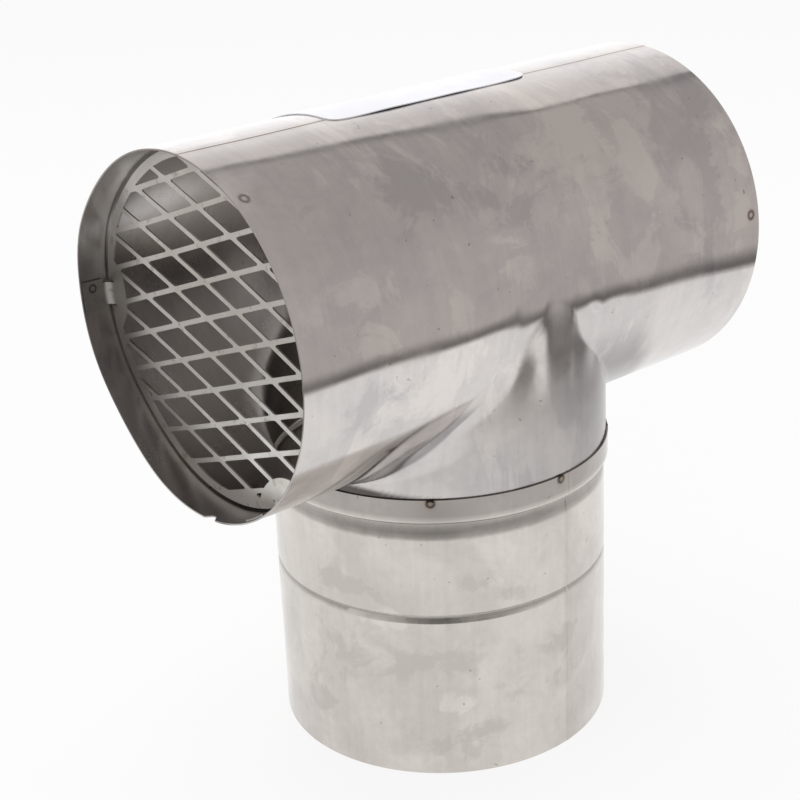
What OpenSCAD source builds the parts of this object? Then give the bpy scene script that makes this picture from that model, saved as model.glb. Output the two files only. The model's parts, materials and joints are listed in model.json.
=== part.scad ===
// Stove pipe tee: a level run of pipe drawn down into an upright branch, with a
// diamond screen spot welded inside each open end of the run.
// The run lies along X and the branch along Z. The origin is the centre of the
// branch's plain lower end. All sizes are millimetres.

/* [Run] */
// Inside diameter of the run
run_bore = 101.6; // [80:0.1:150]
// Length of the run from rim to rim
run_length = 175; // [150:1:260]
// Thickness of the sheet of the run and its collar
body_sheet = 0.5; // [0.4:0.05:1]
// Height of the weld bead that closes the run and the sleeve
bead_height = 0.12; // [0.05:0.01:0.25]
// Width of those weld beads
bead_width = 1; // [0.6:0.1:2]
// Place of the run's weld bead, in degrees from the top towards the front
run_seam_turn = 5; // [-30:1:30]
// Width of the notch in the near rim
notch_width = 5; // [3:0.5:10]
// Depth of that notch
notch_depth = 1.8; // [1:0.1:3]
// Place of the notch, in degrees from the top towards the front
notch_turn = 175; // [165:1:185]

/* [Branch] */
// Radial gap between the collar and the sleeve's band
lap_gap = 0.1; // [0.05:0.05:0.3]
// How far the collar's end stays above the band's lower edge
collar_stop = 0.8; // [0.6:0.1:2]
// Thickness of the sheet of the sleeve
sleeve_sheet = 0.5; // [0.4:0.05:1]
// Length of the plain end that enters the next pipe
spigot_length = 50.2; // [30:0.1:80]
// Height of the stop groove above the plain end
stop_height = 3; // [2.4:0.1:6]
// Depth of the stop groove
stop_depth = 0.45; // [0.3:0.05:1]
// Length of plain pipe between the two grooves
pipe_length = 23.4; // [15:0.1:50]
// Height of the seat groove under the band
seat_height = 6.2; // [4:0.1:10]
// Depth of the seat groove below the pipe's surface
seat_depth = 0.5; // [0.3:0.05:1]
// How far the band stands out from the pipe below it
band_step = 1.1; // [0.9:0.05:1.8]
// Height of the band that holds the collar
band_height = 7.2; // [5:0.1:12]
// Gap between the band's lip and the underside of the run
lip_gap = 0.7; // [0.5:0.1:4]
// Place of the sleeve's weld bead, in degrees from the far end towards the back
sleeve_seam_turn = -85; // [-180:1:180]

/* [Screens] */
// Thickness of the sheet of the screens
screen_sheet = 0.5; // [0.4:0.05:1]
// Distance from the rim to the outer face of a screen
screen_inset = 10; // [8:0.5:20]
// Gap between a screen's edge and the wall
screen_gap = 0.8; // [0.5:0.1:1.2]
// Width of the solid ring round a screen
ring_width = 2.6; // [2:0.1:5]
// Width of one diamond from crossing to crossing
diamond_width = 28.2; // [20:0.1:34]
// Height of one diamond from crossing to crossing
diamond_height = 10.36; // [8:0.01:14]
// Width of a strand of the screen
strand_width = 1.4; // [1:0.05:2]
// Radius at the wide corners of a diamond
crown_radius = 2; // [1:0.1:3]
// Radius at the narrow corners of a diamond
tip_radius = 0.4; // [0.2:0.05:0.6]
// Sideways place of one crossing from the centre of the screen
mesh_across = -4.14; // [-7:0.01:7]
// Height of that crossing above the centre of the screen
mesh_up = 2.5; // [-5:0.1:5]
// How far a diamond has to reach inside the ring to be cut out
least_reach = 1.5; // [0.5:0.1:3]

/* [Tabs] */
// Number of tabs on a screen
tab_count = 3; // [2:1:4]
// Place of the first tab, in degrees from the front towards the top
first_tab = 60; // [0:5:120]
// Width of a tab where it lies on the wall
tab_width = 9; // [7.5:0.5:14]
// Width of the bent neck between the screen and a tab
neck_width = 6.4; // [4:0.1:7]
// Outer radius of the bend
bend_radius = 3; // [1.5:0.1:4]
// Width of the relief slots beside the neck
relief_width = 0.6; // [0.4:0.1:1.5]
// Distance from a tab's end to the rim
tab_to_rim = 0.5; // [0.2:0.1:2]
// Gap between a tab and the wall it is welded to
seat_gap = 0.1; // [0.05:0.05:0.3]
// How far the solid pad at a tab reaches in from the edge of the screen
pad_depth = 7.5; // [5:0.1:10]
// Radius of the pad's inner edge
pad_radius = 16; // [12:0.5:24]

/* [Spot welds] */
// Diameter of a spot weld mark
spot_size = 3; // [2:0.1:5]
// Depth of the marks pressed into the run at the tabs
spot_sink = 0.12; // [0.05:0.01:0.2]
// Distance from the rim to the marks at the tabs
spot_from_rim = 3.5; // [3:0.1:5]
// Number of spot welds round the band of the sleeve
lip_spots = 8; // [4:1:12]
// Place of the first of them, in degrees from the far end towards the back
first_lip_spot = -134; // [-180:1:180]
// Distance from the lip to their centres
spot_from_lip = 1.7; // [1.6:0.1:3]
// How far those welds stand out from the band
spot_height = 0.2; // [0.1:0.05:0.4]

/* [Label] */
// Length of the blank label along the run
label_length = 74; // [50:1:100]
// Distance of the label's middle from the branch's axis, towards the near end
label_offset = 2.5; // [-10:0.5:10]
// Width of the label across the run
label_width = 44; // [30:1:60]
// Thickness of the label
label_sheet = 0.3; // [0.3:0.05:0.5]
// Radius of the label's corners
label_corner = 3.5; // [2:0.5:6]
// Gap between the label and the run
label_gap = 0.05; // [0.05:0.01:0.1]
// Place of the label's front edge, in degrees from the top towards the front
label_turn = 8.3; // [0:0.1:20]

/* [Hidden] */
$fn = 128;
// Steps in each rounded corner of a profile
arc_steps = 4;
// Length by which a cut runs past a face
past = 1;

// Radii of the run. The tee is an equal one: its collar has the same radii.
bore_r = run_bore / 2;
run_r = bore_r + body_sheet;

// Radii of the sleeve, from the collar outwards and down
band_r = run_r + lap_gap + sleeve_sheet;
pipe_r = band_r - band_step;

// Heights along the branch, from its plain end up to the run's axis
stop_top = spigot_length + stop_height;
seat_foot = stop_top + pipe_length;
band_foot = seat_foot + seat_height;
lip_z = band_foot + band_height;
collar_end = band_foot + collar_stop;
axis_z = lip_z + lip_gap + run_r;

// Steps of the two grooves: each drops in sharply at its top and returns on a slope
stop_step = stop_height / 5;
seat_step = seat_height / 8;

// Screen sizes that follow the bore
disc_r = bore_r - screen_gap;
ring_r = disc_r - ring_width;
tab_r = bore_r - seat_gap;
bend_start = tab_r - bend_radius;
tab_root = bend_start - past;
tab_top = screen_inset + screen_sheet - tab_to_rim;
tab_angles = [for (i = [0:tab_count - 1]) first_tab + 360 * i / tab_count];
pad_centre = disc_r - pad_depth + pad_radius;

// Sleeve's outer outline from the plain end up: radius, height and corner radius
sleeve_path = [
    [pipe_r, 0],
    [pipe_r, spigot_length],
    [pipe_r - stop_depth, stop_top - stop_step],
    [pipe_r, stop_top],
    [pipe_r, seat_foot],
    [pipe_r - seat_depth, band_foot - seat_step],
    [band_r, band_foot],
    [band_r, lip_z]
];
sleeve_corners = [0, 2, 0.3, 1, 10, 0.3, 1, 0];

// Plane geometry: unit vector, left normal and a turned vector
function unit(v) = v / norm(v);
function left(v) = [-v[1], v[0]];
function turned(v, a) = v * cos(a) + left(v) * sin(a);
function arc_width(w, r) = 2 * asin(w / 2 / r);

// Signed turn of a path at its point i, left turns positive
function turn_at(path, i) =
    let (u = unit(path[i] - path[i - 1]), v = unit(path[i + 1] - path[i]))
    atan2(cross(u, v), u * v);

// A path moved sideways by d to its left, with its corners mitred
function side_shift(path, d) = [
    for (i = [0:len(path) - 1])
        let (
            last = len(path) - 1,
            u = unit(path[max(i, 1)] - path[max(i, 1) - 1]),
            v = unit(path[min(i, last - 1) + 1] - path[min(i, last - 1)]),
            n = unit(left(u) + left(v))
        )
        path[i] + n * d / (n * left(u))
];

// Corner radii of a path that was moved sideways by d
function shifted_corners(path, corners, d) = [
    for (i = [0:len(path) - 1])
        i == 0 || i == len(path) - 1 ? 0 : max(corners[i] - sign(turn_at(path, i)) * d, 0)
];

// One rounded corner, no longer than half of the shorter side beside it
function fillet(path, i, r) =
    let (
        u = unit(path[i] - path[i - 1]),
        a = turn_at(path, i),
        room = min(norm(path[i] - path[i - 1]), norm(path[i + 1] - path[i])) / 2,
        t = min(r * tan(abs(a) / 2), room),
        s = sign(a),
        rr = t / tan(abs(a) / 2),
        c = path[i] - u * t + left(u) * s * rr
    )
    [for (k = [0:arc_steps]) c - turned(left(u), a * k / arc_steps) * s * rr];

// A path with each of its corners rounded
function rounded(path, corners) = [
    for (i = [0:len(path) - 1])
        each (corners[i] > 0 ? fillet(path, i, corners[i]) : [path[i]])
];

function reversed(list) = [for (i = [len(list) - 1:-1:0]) list[i]];

// Outline of a rolled sheet between two side shifts of its path
function sheet_outline(path, corners, d1, d2) = concat(
    rounded(side_shift(path, d1), shifted_corners(path, corners, d1)),
    reversed(rounded(side_shift(path, d2), shifted_corners(path, corners, d2)))
);

// Corners of one diamond opening round its centre, counted anticlockwise
function diamond() =
    let (
        a = diamond_width / 2,
        b = diamond_height / 2,
        k = 1 - strand_width / 2 * norm([a, b]) / (a * b)
    )
    [[a * k, 0], [0, b * k], [-a * k, 0], [0, -b * k]];

// The same with its corners rounded
function diamond_outline() =
    let (d = diamond(), closed = concat([d[3]], d, [d[0]]))
    [
        for (i = [1:4])
            each fillet(closed, i, i % 2 == 1 ? tip_radius : crown_radius)
    ];

// Distance from the centre of the screen to the nearest part of an opening at p,
// taken at the ends and the middles of its sides
function nearest(p) =
    let (d = diamond())
    min([for (i = [0:3]) each [norm(p + d[i]), norm(p + (d[i] + d[(i + 1) % 4]) / 2)]]);

// Centres of the openings: two nets of rows, half a diamond apart
function opening_centres() =
    let (
        rows = ceil(ring_r / diamond_height) + 2,
        columns = ceil(ring_r / diamond_width) + 2
    )
    [
        for (half = [0, 1])
            for (i = [-columns:columns])
                for (j = [-rows:rows])
                    let (p = [
                        mesh_across + (i + half / 2) * diamond_width,
                        mesh_up + (j + (half + 1) / 2) * diamond_height
                    ])
                    if (nearest(p) < ring_r - least_reach) p
    ];

// Rounded rectangle round the origin
function plate_outline(w, h, r) =
    let (
        p = [[w / 2, -h / 2], [w / 2, h / 2], [-w / 2, h / 2], [-w / 2, -h / 2]],
        closed = concat([p[3]], p, [p[0]])
    )
    [for (i = [1:4]) each fillet(closed, i, r)];

// Turns a shape drawn on Z so that it runs along the run's axis: its X points
// to the front, its Y up and its Z to the near end
module along_run() {
    translate([0, 0, axis_z])
        rotate([90, 0, -90])
            children();
}

// A piece of a turned profile, centred on the X axis
module sector(a) {
    rotate([0, 0, -a / 2])
        rotate_extrude(angle = a)
            children();
}

// A short rod that points outwards from the Z axis
module radial_rod(turn, z, from, to, d) {
    rotate([0, 0, turn])
        translate([from, 0, z])
            rotate([0, 90, 0])
                cylinder(h = to - from, d = d);
}

// The run's weld bead, with room round it where a cover lies over it
module run_bead(room = 0) {
    along_run()
        rotate([0, 0, 90 - run_seam_turn])
            sector(arc_width(bead_width + 2 * room, run_r))
                translate([run_r - body_sheet / 2, -run_length / 2])
                    square([body_sheet / 2 + bead_height + room, run_length]);
}

// Cut in the near rim, where the wall is open at the bottom
module rim_notch() {
    along_run()
        rotate([0, 0, 90 - notch_turn])
            translate([bore_r - past, -notch_width / 2, run_length / 2 - notch_depth])
                cube([body_sheet + bead_height + 2 * past, notch_width, notch_depth + past]);
}

// Shallow marks of the spot welds over the tabs at both ends
module tab_marks() {
    for (end = [0, 180])
        rotate([0, 0, end])
            along_run()
                for (a = tab_angles)
                    radial_rod(
                        a,
                        run_length / 2 - spot_from_rim,
                        run_r - spot_sink,
                        run_r + past,
                        spot_size
                    );
}

// Run and collar in one drawn sheet
module tee_body() {
    color([0.74, 0.72, 0.70]) {
        difference() {
            union() {
                along_run()
                    cylinder(h = run_length, r = run_r, center = true);
                translate([0, 0, collar_end])
                    cylinder(h = axis_z - collar_end, r = run_r);
                run_bead();
            }
            along_run()
                cylinder(h = run_length + 2 * past, r = bore_r, center = true);
            translate([0, 0, collar_end - past])
                cylinder(h = axis_z - collar_end + past, r = bore_r);
            rim_notch();
            tab_marks();
        }
    }
}

// Lower pipe with its two rolled grooves, its band and its weld bead
module branch_sleeve() {
    color([0.80, 0.79, 0.77]) {
        rotate_extrude()
            polygon(sheet_outline(sleeve_path, sleeve_corners, 0, sleeve_sheet));
        rotate([90, 0, sleeve_seam_turn])
            linear_extrude(bead_width, center = true)
                polygon(sheet_outline(
                    sleeve_path,
                    sleeve_corners,
                    -bead_height,
                    sleeve_sheet / 2
                ));
        for (i = [0:lip_spots - 1])
            radial_rod(
                first_lip_spot + 360 * i / lip_spots,
                lip_z - spot_from_lip,
                band_r - sleeve_sheet / 2,
                band_r + spot_height,
                spot_size
            );
    }
}

// Flat face of a screen, cut open by diamonds inside its ring and pads
module screen_face() {
    difference() {
        circle(r = disc_r);
        intersection() {
            difference() {
                circle(r = ring_r);
                for (a = tab_angles)
                    rotate(a)
                        translate([pad_centre, 0])
                            circle(r = pad_radius);
            }
            union() {
                for (p = opening_centres())
                    translate(p)
                        polygon(diamond_outline());
            }
        }
        for (a = tab_angles)
            rotate(a)
                translate([bend_start, -neck_width / 2 - relief_width])
                    square([bend_radius + past, neck_width + 2 * relief_width]);
    }
}

// Outline of a tab: flat root in the screen, quarter bend and the rise along the wall
function tab_outline() =
    let (
        c = [bend_start, bend_radius],
        inner = bend_radius - screen_sheet
    )
    concat(
        [[tab_root, 0]],
        [for (k = [0:arc_steps]) c + bend_radius * turned([0, -1], 90 * k / arc_steps)],
        [[tab_r, tab_top], [tab_r - screen_sheet, tab_top]],
        [for (k = [arc_steps:-1:0]) c + inner * turned([0, -1], 90 * k / arc_steps)],
        [[tab_root, screen_sheet]]
    );

// A tab bent out of the screen so that it lies along the wall, narrowed to its
// neck below the shoulder
module tab() {
    shoulder = bend_radius + relief_width;
    side_cut = tab_width - neck_width;
    difference() {
        sector(arc_width(tab_width, tab_r))
            polygon(tab_outline());
        for (side = [-1, 1])
            translate([tab_root - past, (side * tab_width - side_cut) / 2, -past])
                cube([tab_r - tab_root + 2 * past, side_cut, shoulder + past]);
    }
}

// One screen, with its tabs towards +Z
module screen() {
    linear_extrude(screen_sheet)
        screen_face();
    for (a = tab_angles)
        rotate([0, 0, a])
            tab();
}

module near_screen() {
    color([0.78, 0.77, 0.74])
        along_run()
            translate([0, 0, run_length / 2 - screen_inset - screen_sheet])
                screen();
}

module far_screen() {
    color([0.72, 0.71, 0.69])
        rotate([0, 0, 180])
            along_run()
                translate([0, 0, run_length / 2 - screen_inset - screen_sheet])
                    screen();
}

// Blank label laid over the top of the run and its weld bead
module blank_label() {
    half_turn = label_width / run_r * 90 / PI;
    inner_r = run_r + label_gap;
    color([0.93, 0.93, 0.95])
        difference() {
            intersection() {
                along_run()
                    difference() {
                        cylinder(h = run_length, r = inner_r + label_sheet, center = true);
                        cylinder(h = run_length + past, r = inner_r, center = true);
                    }
                along_run()
                    rotate([0, 0, 90 - label_turn + half_turn])
                        rotate([0, 90, 0])
                            translate([-label_offset, 0, 0])
                                linear_extrude(run_r + past)
                                    polygon(plate_outline(
                                        label_length,
                                        2 * run_r * sin(half_turn),
                                        label_corner
                                    ));
            }
            run_bead(label_gap);
        }
}

tee_body();
branch_sleeve();
near_screen();
far_screen();
blank_label();
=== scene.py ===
"""Stove pipe tee: the looks of its five pieces, laid out as an add-on and run as a script.

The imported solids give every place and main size. Each piece is a surface worked out with
numpy, and its material reads object coordinates or attributes of its own mesh.
Lengths are metres and turns are degrees. The run lies along X with the branch below it.
A turn on the run is counted from the top towards the front, and a bearing on the branch
from +X towards +Y.
"""

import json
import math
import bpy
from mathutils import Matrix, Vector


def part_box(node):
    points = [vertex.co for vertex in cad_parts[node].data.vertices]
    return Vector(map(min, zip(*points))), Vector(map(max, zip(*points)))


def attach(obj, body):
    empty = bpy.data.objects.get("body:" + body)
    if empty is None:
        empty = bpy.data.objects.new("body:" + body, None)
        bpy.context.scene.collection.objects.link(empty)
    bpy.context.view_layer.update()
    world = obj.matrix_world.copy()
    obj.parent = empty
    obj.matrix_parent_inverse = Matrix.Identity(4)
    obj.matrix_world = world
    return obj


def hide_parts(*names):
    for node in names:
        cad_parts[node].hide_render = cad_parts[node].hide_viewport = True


bl_info = {
    "name": "Stove Pipe Tee",
    "version": (1, 0, 0),
    "blender": (4, 5, 0),
    "location": "View3D > Sidebar > Pipe Tee",
    "description": "Dresses a stove pipe tee with a screen in each end of its run",
    "category": "Object",
}

import bmesh
import bpy
import numpy as np
from bpy.props import FloatProperty, FloatVectorProperty, PointerProperty
from mathutils import Matrix

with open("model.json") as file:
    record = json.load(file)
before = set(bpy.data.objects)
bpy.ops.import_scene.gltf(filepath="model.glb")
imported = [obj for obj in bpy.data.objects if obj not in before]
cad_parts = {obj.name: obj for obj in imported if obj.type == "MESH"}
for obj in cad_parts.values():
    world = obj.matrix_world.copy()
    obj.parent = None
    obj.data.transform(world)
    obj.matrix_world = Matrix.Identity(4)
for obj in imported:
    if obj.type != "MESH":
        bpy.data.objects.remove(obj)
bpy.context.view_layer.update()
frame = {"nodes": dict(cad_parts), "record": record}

MM = 0.001
SPIGOT = next(m for m in frame["record"]["mounts"] if m["name"] == "branch_spigot")

# Main sizes, read from the solids
BODY_LOW, BODY_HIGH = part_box("tee_body")
SLEEVE_LOW, SLEEVE_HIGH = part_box("branch_sleeve")
SCREEN_LOW, SCREEN_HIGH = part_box("near_screen")
LABEL_LOW, LABEL_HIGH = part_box("blank_label")
HALF_RUN = BODY_HIGH.x
RUN_R = BODY_HIGH.y
COLLAR_END = BODY_LOW.z
PIPE_R = SPIGOT["dims"]["r_mm"] * MM
SPIGOT_LENGTH = SPIGOT["dims"]["length_mm"] * MM
LIP_Z = SLEEVE_HIGH.z
AXIS_Z = (SCREEN_LOW.z + SCREEN_HIGH.z) / 2
LABEL_MIDDLE = (LABEL_LOW.x + LABEL_HIGH.x) / 2
LABEL_HALF = (LABEL_HIGH.x - LABEL_LOW.x) / 2

# Turns of the tabs of each screen and of the marks of their welds on the run
NEAR_TABS = (30, 150, 270)
FAR_TABS = (90, 210, 330)

# Depth of a screen in the run, and how far the inside of its tabs lies under the run's outer skin
SCREEN_DEPTH = 10.5 * MM
TAB_SINK = 1.1 * MM

# Bearings of the spot welds round the sleeve's band, past the first one
NUGGET_STEPS = 45 * np.arange(8)

# Turn and width, in degrees, of the bulge and of the flat at the back of the near rim
RIM_BULGE = (-70, 17)
RIM_FLAT = (-133, 24)

# Linear colours of sooty marks and of painted shade, of the heat tint and of the small specks, on every
# steel
SOOT_AND_SHADE = (0.06, 0.05, 0.045)
HEAT_TINT = (0.30, 0.20, 0.11)
SPECK = (0.20, 0.17, 0.14)

# Linear colours of the room in reflections
ROOM_FOOT = (0.20, 0.19, 0.185)
ROOM_TABLE_EDGE = (0.74, 0.72, 0.70)
ROOM_CAMERA = (0.08, 0.08, 0.08)
ROOM_LINE = (0.10, 0.10, 0.10)
ROOM_WHITE_LOW = (1.25, 1.25, 1.27)
ROOM_WHITE_HIGH = (0.80, 0.77, 0.76)

# Stains of the sleeve: height in millimetres and bearing, widths in millimetres and degrees, and amount
SLEEVE_PATCHES = (
    (60, -165, 4, 14, 0.5),
    (61, -122, 3, 6, 0.55),
    (57, -110, 2.5, 7, 0.55),
    (64, -106, 6, 4, 0.35),
    (34, -85, 12, 7, 0.7),
    (14, -90, 8, 6, 0.35),
    (38, -174, 9, 14, 0.4),
    (37, -140, 4, 22, 0.4),
    (27, -111, 6, 10, 0.4),
    (17, -178, 7, 9, 0.55),
    (11, -124, 6, 14, 0.45),
    (24, -130, 5, 9, -0.5),
    (51, -148, 3, 12, -0.5),
)

# Stains of the run: place along it and turn, widths in millimetres and degrees, and amount, where less
# than 0 is a lighter splash
PATCHES = (
    (64, 58, 12, 34, 1.1),
    (76, 26, 8, 16, 0.9),
    (29, 42, 8, 11, -1.0),
    (43, 54, 5, 20, -1.1),
    (21, 69, 6, 14, -0.8),
    (36, 86, 12, 7, -0.75),
    (80, 72, 6, 24, -0.8),
    (-33, 46, 28, 14, 0.6),
    (4, 62, 16, 12, 0.55),
    (-60, 76, 16, 12, -0.55),
    (-12, 72, 10, 10, -0.5),
    (-62, 104, 16, 8, 0.6),
)

# Folds in each side, as place and width along the run in millimetres and share of the full height
FOLDS = (
    (-25, 9, 0.8),
    (-12.5, 2.8, -0.6),
    (-5.8, 2.7, 1.0),
    (6.5, 1.5, 0.35),
    (16, 3.2, 0.9),
    (27, 8, 0.6),
)


def length(name, default, description):
    """A size in metres that a user can change."""
    return FloatProperty(
        name=name, default=default, description=description, unit="LENGTH", subtype="DISTANCE", precision=5
    )


def number(name, default, description):
    """A plain number that a user can change, such as a turn or bearing in degrees."""
    return FloatProperty(name=name, default=default, description=description)


def colour(name, default, description):
    """A linear colour that a user can change."""
    return FloatVectorProperty(
        name=name, default=default, description=description, subtype="COLOR", size=3, min=0, max=1
    )


class TeeBodySettings(bpy.types.PropertyGroup):
    """Sizes and colours of the drawn tee."""

    sheet: length("Sheet", 0.5 * MM, "Thickness of the sheet")
    bead_height: length("Bead height", 0.12 * MM, "Height of the run's weld bead")
    bead_width: length("Bead width", 1.0 * MM, "Width of the run's weld bead")
    bead_turn: number("Bead turn", 5, "Place of the weld bead")
    fillet: length("Fillet", 7.8 * MM, "Reach of the drawn rounding between run and branch")
    mark_size: length("Weld mark", 2.8 * MM, "Diameter of the spot weld marks")
    mark_slip: number("Mark slip", 2.6, "How far each near mark lies past the middle of its tab")
    far_slip: number("Far mark slip", -7.0, "How far each far mark lies past the middle of its tab")
    mark_inset: length("Mark inset", 3.5 * MM, "Distance from the rim to the marks")
    mark_depth: length("Mark depth", 0.015 * MM, "Depth of the marks")
    notch_turn: number("Notch turn", 175, "Place of the notch in the near rim")
    notch_width: length("Notch width", 5.0 * MM, "Width of the notch")
    notch_depth: length("Notch depth", 1.8 * MM, "Depth of the notch")
    oval: length("Flat", 2.6 * MM, "How far the near rim is pushed in at its lower back")
    shoulder: length("Shoulder folds", 1.2 * MM, "Height of the folds where the branch leaves the run")
    wave: length("Waves", 0.05 * MM, "Height of the shallow waves in the sheet")
    steel: colour("Steel", (0.74, 0.70, 0.665), "Reflected colour of the clean sheet")
    stain: colour("Stain", (0.54, 0.515, 0.515), "Reflected colour of the stained sheet")


class SleeveSettings(bpy.types.PropertyGroup):
    """Sizes and colours of the branch sleeve."""

    sheet: length("Sheet", 0.5 * MM, "Thickness of the sheet")
    stop_height: length("Stop groove", 3.0 * MM, "Height of the stop groove")
    stop_depth: length("Stop depth", 0.45 * MM, "Depth of the stop groove")
    seat_depth: length("Seat depth", 0.5 * MM, "Depth of the seat groove")
    pipe_length: length("Middle pipe", 23.4 * MM, "Length of pipe between the grooves")
    seat_height: length("Seat groove", 6.2 * MM, "Height of the seat groove")
    band_step: length("Band step", 1.1 * MM, "How far the band stands out from the pipe")
    bead_bearing: number("Bead bearing", -85, "Place of the sleeve's weld bead")
    bead_height: length("Bead height", 0.12 * MM, "Height of the sleeve's weld bead")
    bead_width: length("Bead width", 1.0 * MM, "Width of the sleeve's weld bead")
    nugget_bearing: number("First nugget", -134, "Place of the first spot weld of the band")
    nugget_height: length("Nugget height", 0.14 * MM, "How far the spot welds stand out")
    nugget_drop: length("Nugget drop", 0.9 * MM, "Distance from the lip to their centres")
    nugget_size: length("Nugget size", 2.5 * MM, "Diameter of the spot welds")
    steel: colour("Steel", (0.71, 0.67, 0.625), "Reflected colour of the clean sheet")
    stain: colour("Stain", (0.54, 0.505, 0.475), "Reflected colour of the stained sheet")


class ScreenSettings(bpy.types.PropertyGroup):
    """Sizes and colours of the two screens."""

    bow: length("Bow", 1.6 * MM, "How far the sides of a screen bow towards its rim")
    fade: length("Fade", 4.0 * MM, "Height of a tab over which the bow fades out")
    edge: length("Edge", 0.12 * MM, "Width of the worn edges of the strands")
    steel: colour("Steel", (0.84, 0.83, 0.80), "Reflected colour of the strands")
    stain: colour("Heat tint", (0.48, 0.43, 0.33), "Reflected colour of the heat tint")


class LabelSettings(bpy.types.PropertyGroup):
    """Sizes and colour of the blank label."""

    width: length("Width", 44.0 * MM, "Width of the label across the run")
    sheet: length("Film", 0.3 * MM, "Thickness of the label")
    gap: length("Gap", 0.05 * MM, "Gap between the label and the run")
    front_turn: number("Front edge", 8.3, "Place of the label's front edge")
    corner: length("Corner", 3.5 * MM, "Radius of the label's corners")
    lift: length("Lift", 0.25 * MM, "How far the front edge has come loose")
    film: colour("Film", (0.85, 0.85, 0.885), "Colour of the film")


class StageSettings(bpy.types.PropertyGroup):
    """Camera, light and floor."""

    focal: number("Focal length", 79.66, "Focal length of the camera in millimetres")
    sensor: number("Sensor", 36, "Width of the camera's sensor in millimetres")
    azimuth: number("Azimuth", -40.03, "Bearing from which the camera looks, 0 is from the front")
    elevation: number("Elevation", 22.08, "Height angle of the camera")
    roll: number("Roll", -2.57, "Roll of the camera")
    distance: length("Distance", 0.5261, "Distance from the camera to the point that it looks at")
    aim: FloatVectorProperty(
        name="Aim",
        default=(-0.01397, 0, 0.10323),
        description="Point that the camera looks at",
        subtype="XYZ",
    )
    floor_size: length("Floor", 8.0, "Side of the square floor")
    floor: number("Floor white", 0.86, "Share of plain white in the floor's look")
    room_radius: length("Table", 0.315, "Distance at which the white table ends in reflections")
    room_wall: length("Room wall", 2.0, "Distance of the room's walls in reflections")
    room_height: length("Room height", 3.0, "Height of the grey room in reflections")
    room_colour: colour("Room grey", (0.57, 0.54, 0.53), "Colour of the room in reflections")
    white_from: number("White from", 6, "Bearing at which the white backdrop starts")
    white_to: number("White to", 90, "Bearing at which the white backdrop ends")
    top_light: number("Top light", 5.0, "Power of the soft light above, in watts")
    side_light: number("Side light", 2.5, "Power of the soft side light, in watts")


def smooth_step(x):
    """0 below 0, 1 above 1, and 3 x squared less 2 x cubed between."""
    x = np.clip(x, 0, 1)
    return x * x * (3 - 2 * x)


def bell(distance, reach):
    """Height 1 at no distance that falls off as exp of minus the square of distance over reach."""
    return np.exp(-((distance / reach) ** 2))


def wrap(turn):
    """A turn in degrees brought between -180 and 180."""
    return (turn + 180) % 360 - 180


def stains(table, level, turn):
    """Sum of soft stains: a row gives a level in millimetres, a turn, the widths of both and an amount."""
    total = 0
    for place, middle, high, wide, amount in table:
        away = np.hypot((level / MM - place) / high, wrap(turn - middle) / wide)
        total = total + amount * bell(away, 1)
    return total


def lines(low, high, step, dense=(), exact=()):
    """Sorted parameter lines from low to high, even by step, with finer ones round each place of
    dense (place, half width, step), and with each exact value kept free of close neighbours."""
    parts = [np.arange(low, high + step / 2, step)]
    parts += [np.arange(place - half, place + half + fine / 2, fine) for place, half, fine in dense]
    merged = np.unique(np.round(np.concatenate(parts), 5))
    merged = merged[(merged >= low) & (merged <= high)]
    merged = merged[np.append(True, np.diff(merged) > 0.02 * step)]
    for value in exact:
        merged = np.append(merged[np.abs(merged - value) > 0.05 * step], value)
    return np.sort(merged)


def grid_faces(rows, columns, first, closed):
    """Quads of a grid of points counted row by row from first. Closed joins the last column to the first."""
    row, column = np.meshgrid(
        np.arange(rows - 1), np.arange(columns if closed else columns - 1), indexing="ij"
    )
    after = (column + 1) % columns
    this, following = row * columns, (row + 1) * columns
    corners = (this + column, this + after, following + after, following + column)
    return first + np.stack([c.ravel() for c in corners], axis=1)


class Skin:
    """Collects grids of points and the quads between them, and makes one closed mesh of them."""

    def __init__(self):
        self.points = []
        self.faces = []
        self.count = 0

    def add(self, grid, closed=False):
        """Adds a grid of shape rows, columns, 3."""
        rows, columns, _ = grid.shape
        self.faces.append(grid_faces(rows, columns, self.count, closed))
        self.points.append(grid.reshape(-1, 3))
        self.count += rows * columns

    def mesh(self, name, sharp=35):
        """Joins points at the same place, drops quads that lost an edge and points all faces outwards."""
        points = np.concatenate(self.points)
        faces = np.concatenate(self.faces)
        places = np.round(points / 1e-7)
        _, keep, inverse = np.unique(places, axis=0, return_index=True, return_inverse=True)
        faces = inverse.ravel()[faces]
        mesh = bpy.data.meshes.new(name)
        mesh.from_pydata(points[keep].tolist(), [], [list(dict.fromkeys(f)) for f in faces.tolist()])
        face_outwards(mesh, sharp)
        return mesh


def rework(mesh, job):
    """Runs a job on the mesh's faces and points, and keeps what it makes."""
    work = bmesh.new()
    work.from_mesh(mesh)
    job(work)
    work.to_mesh(mesh)
    work.free()


def face_outwards(mesh, sharp):
    """Recalculates the normals of a closed mesh and shades it smooth up to the sharp angle."""
    rework(mesh, lambda work: bmesh.ops.recalc_face_normals(work, faces=work.faces))
    mesh.shade_smooth()
    mesh.set_sharp_from_angle(angle=math.radians(sharp))


def coordinates(mesh):
    """The mesh's points as an array of shape count, 3."""
    flat = np.empty(len(mesh.vertices) * 3)
    mesh.vertices.foreach_get("co", flat)
    return flat.reshape(-1, 3)


def store(mesh, name, values):
    """Keeps one number per point in the mesh, for its material to read."""
    attribute = mesh.attributes.new(name, "FLOAT", "POINT")
    attribute.data.foreach_set("value", np.asarray(values, np.float32))


def add_object(name, data):
    """Puts a new object with this data into the scene, at the origin."""
    made = bpy.data.objects.new(name, data)
    bpy.context.scene.collection.objects.link(made)
    return made


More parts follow.
